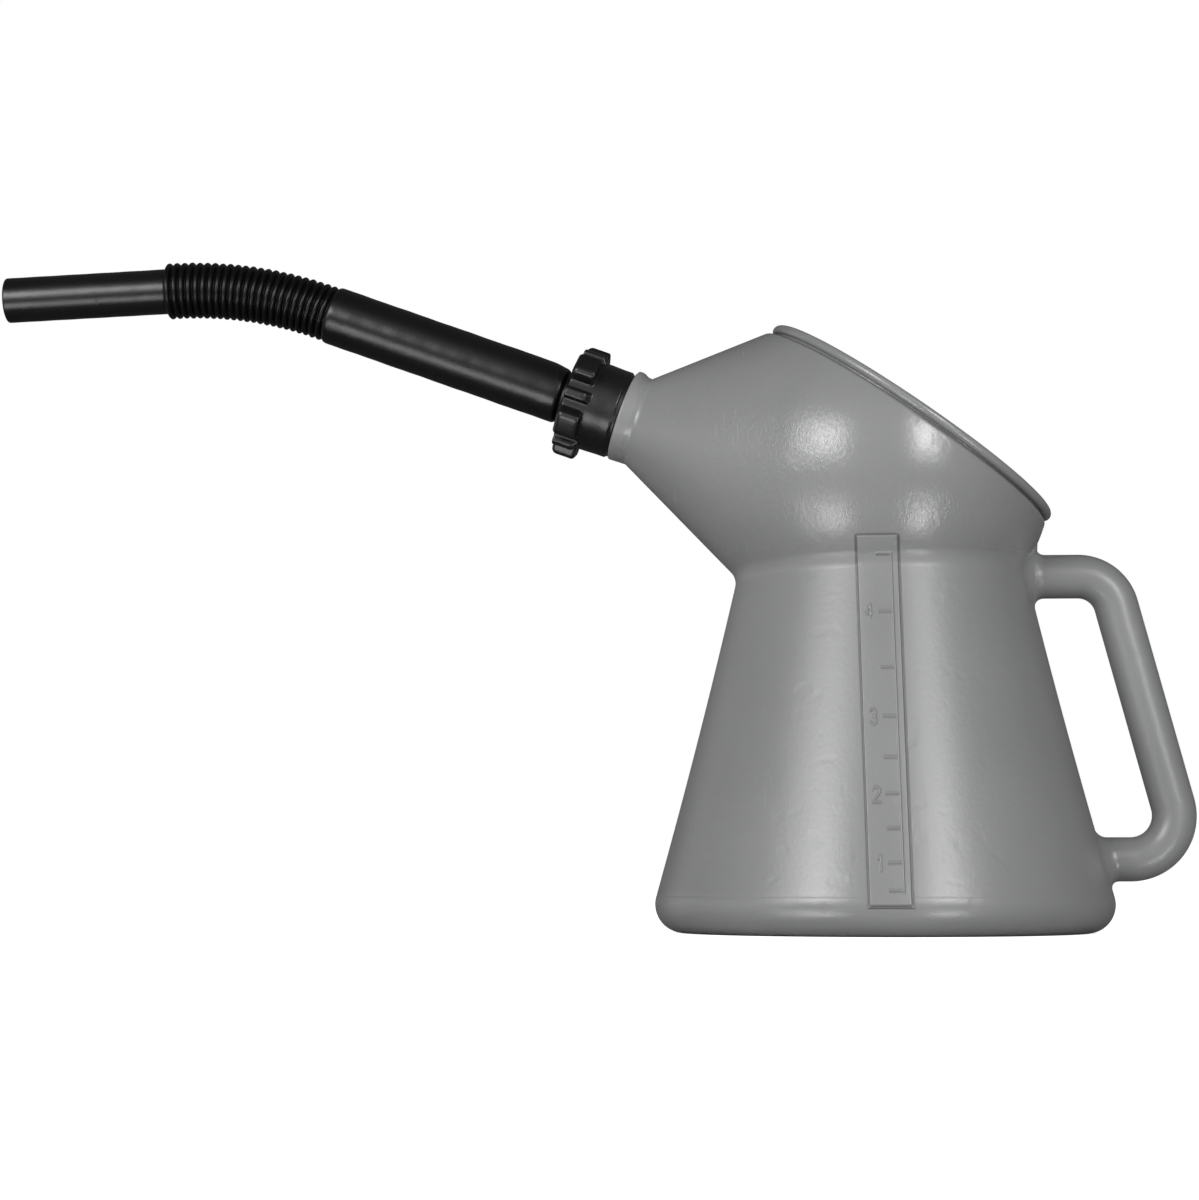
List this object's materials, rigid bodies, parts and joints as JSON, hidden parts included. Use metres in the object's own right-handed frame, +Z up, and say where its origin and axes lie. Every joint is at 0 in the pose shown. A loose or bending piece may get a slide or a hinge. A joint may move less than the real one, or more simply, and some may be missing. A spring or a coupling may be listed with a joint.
{
  "type": "oil pouring jug",
  "caption": "Moulded measuring jug with a conical body, domed top with a slanted open mouth, hollow side handle and a long screwed-on pouring spout that bends at a corrugated hose.",
  "frame": {"origin": "Centre of the round foot, in the plane that the jug stands on.", "axes": "+Z up along the axis of the round body. The spout points to -X and the handle to +X. The litre scale is on the -Y side."},
  "size_m": [0.5956, 0.224, 0.3386],
  "materials": {
    "jug_grey": "blow-moulded polyethylene, mid grey, slightly waxy, with a faint grain and fine scratches",
    "seal_rubber": "soft dark washer rubber",
    "nut_black": "moulded black plastic, half gloss",
    "tube_black": "blow-moulded black polyethylene, glossy, slightly wavy",
    "hose_black": "corrugated black polyethylene, satin"
  },
  "bodies": {
    "jug": {"jug_body": "jug_grey"},
    "seal": {"neck_seal": "seal_rubber"},
    "nut": {"union_nut": "nut_black"},
    "spout": {"spout_tube": "tube_black", "spout_hose": "hose_black"},
    "outlet": {"outlet_tube": "tube_black"}
  },
  "joints": [
    {"name": "spout_draw_off", "type": "slide", "parent": "jug", "child": "seal", "axis": [-0.9397, 0, 0.342], "range_m": [0, 0.012]},
    {"name": "nut_turn", "type": "hinge", "parent": "seal", "child": "nut", "pos_m": [-0.1206, 0, 0.2543], "axis": [-0.9397, 0, 0.342], "range_deg": [0, 1080]},
    {"name": "spout_spin", "type": "hinge", "parent": "seal", "child": "spout", "pos_m": [-0.1206, 0, 0.2543], "axis": [-0.9397, 0, 0.342], "continuous": true},
    {"name": "outlet_bend", "type": "hinge", "parent": "spout", "child": "outlet", "pos_m": [-0.31713, 0, 0.32583], "axis": [0, 1, 0], "range_deg": [-37, 82], "deforming": ["spout_hose"]}
  ],
  "couplings": [
    {"joint": "spout_draw_off", "follows": "nut_turn", "m_per_rad": 0.00063661}
  ]
}
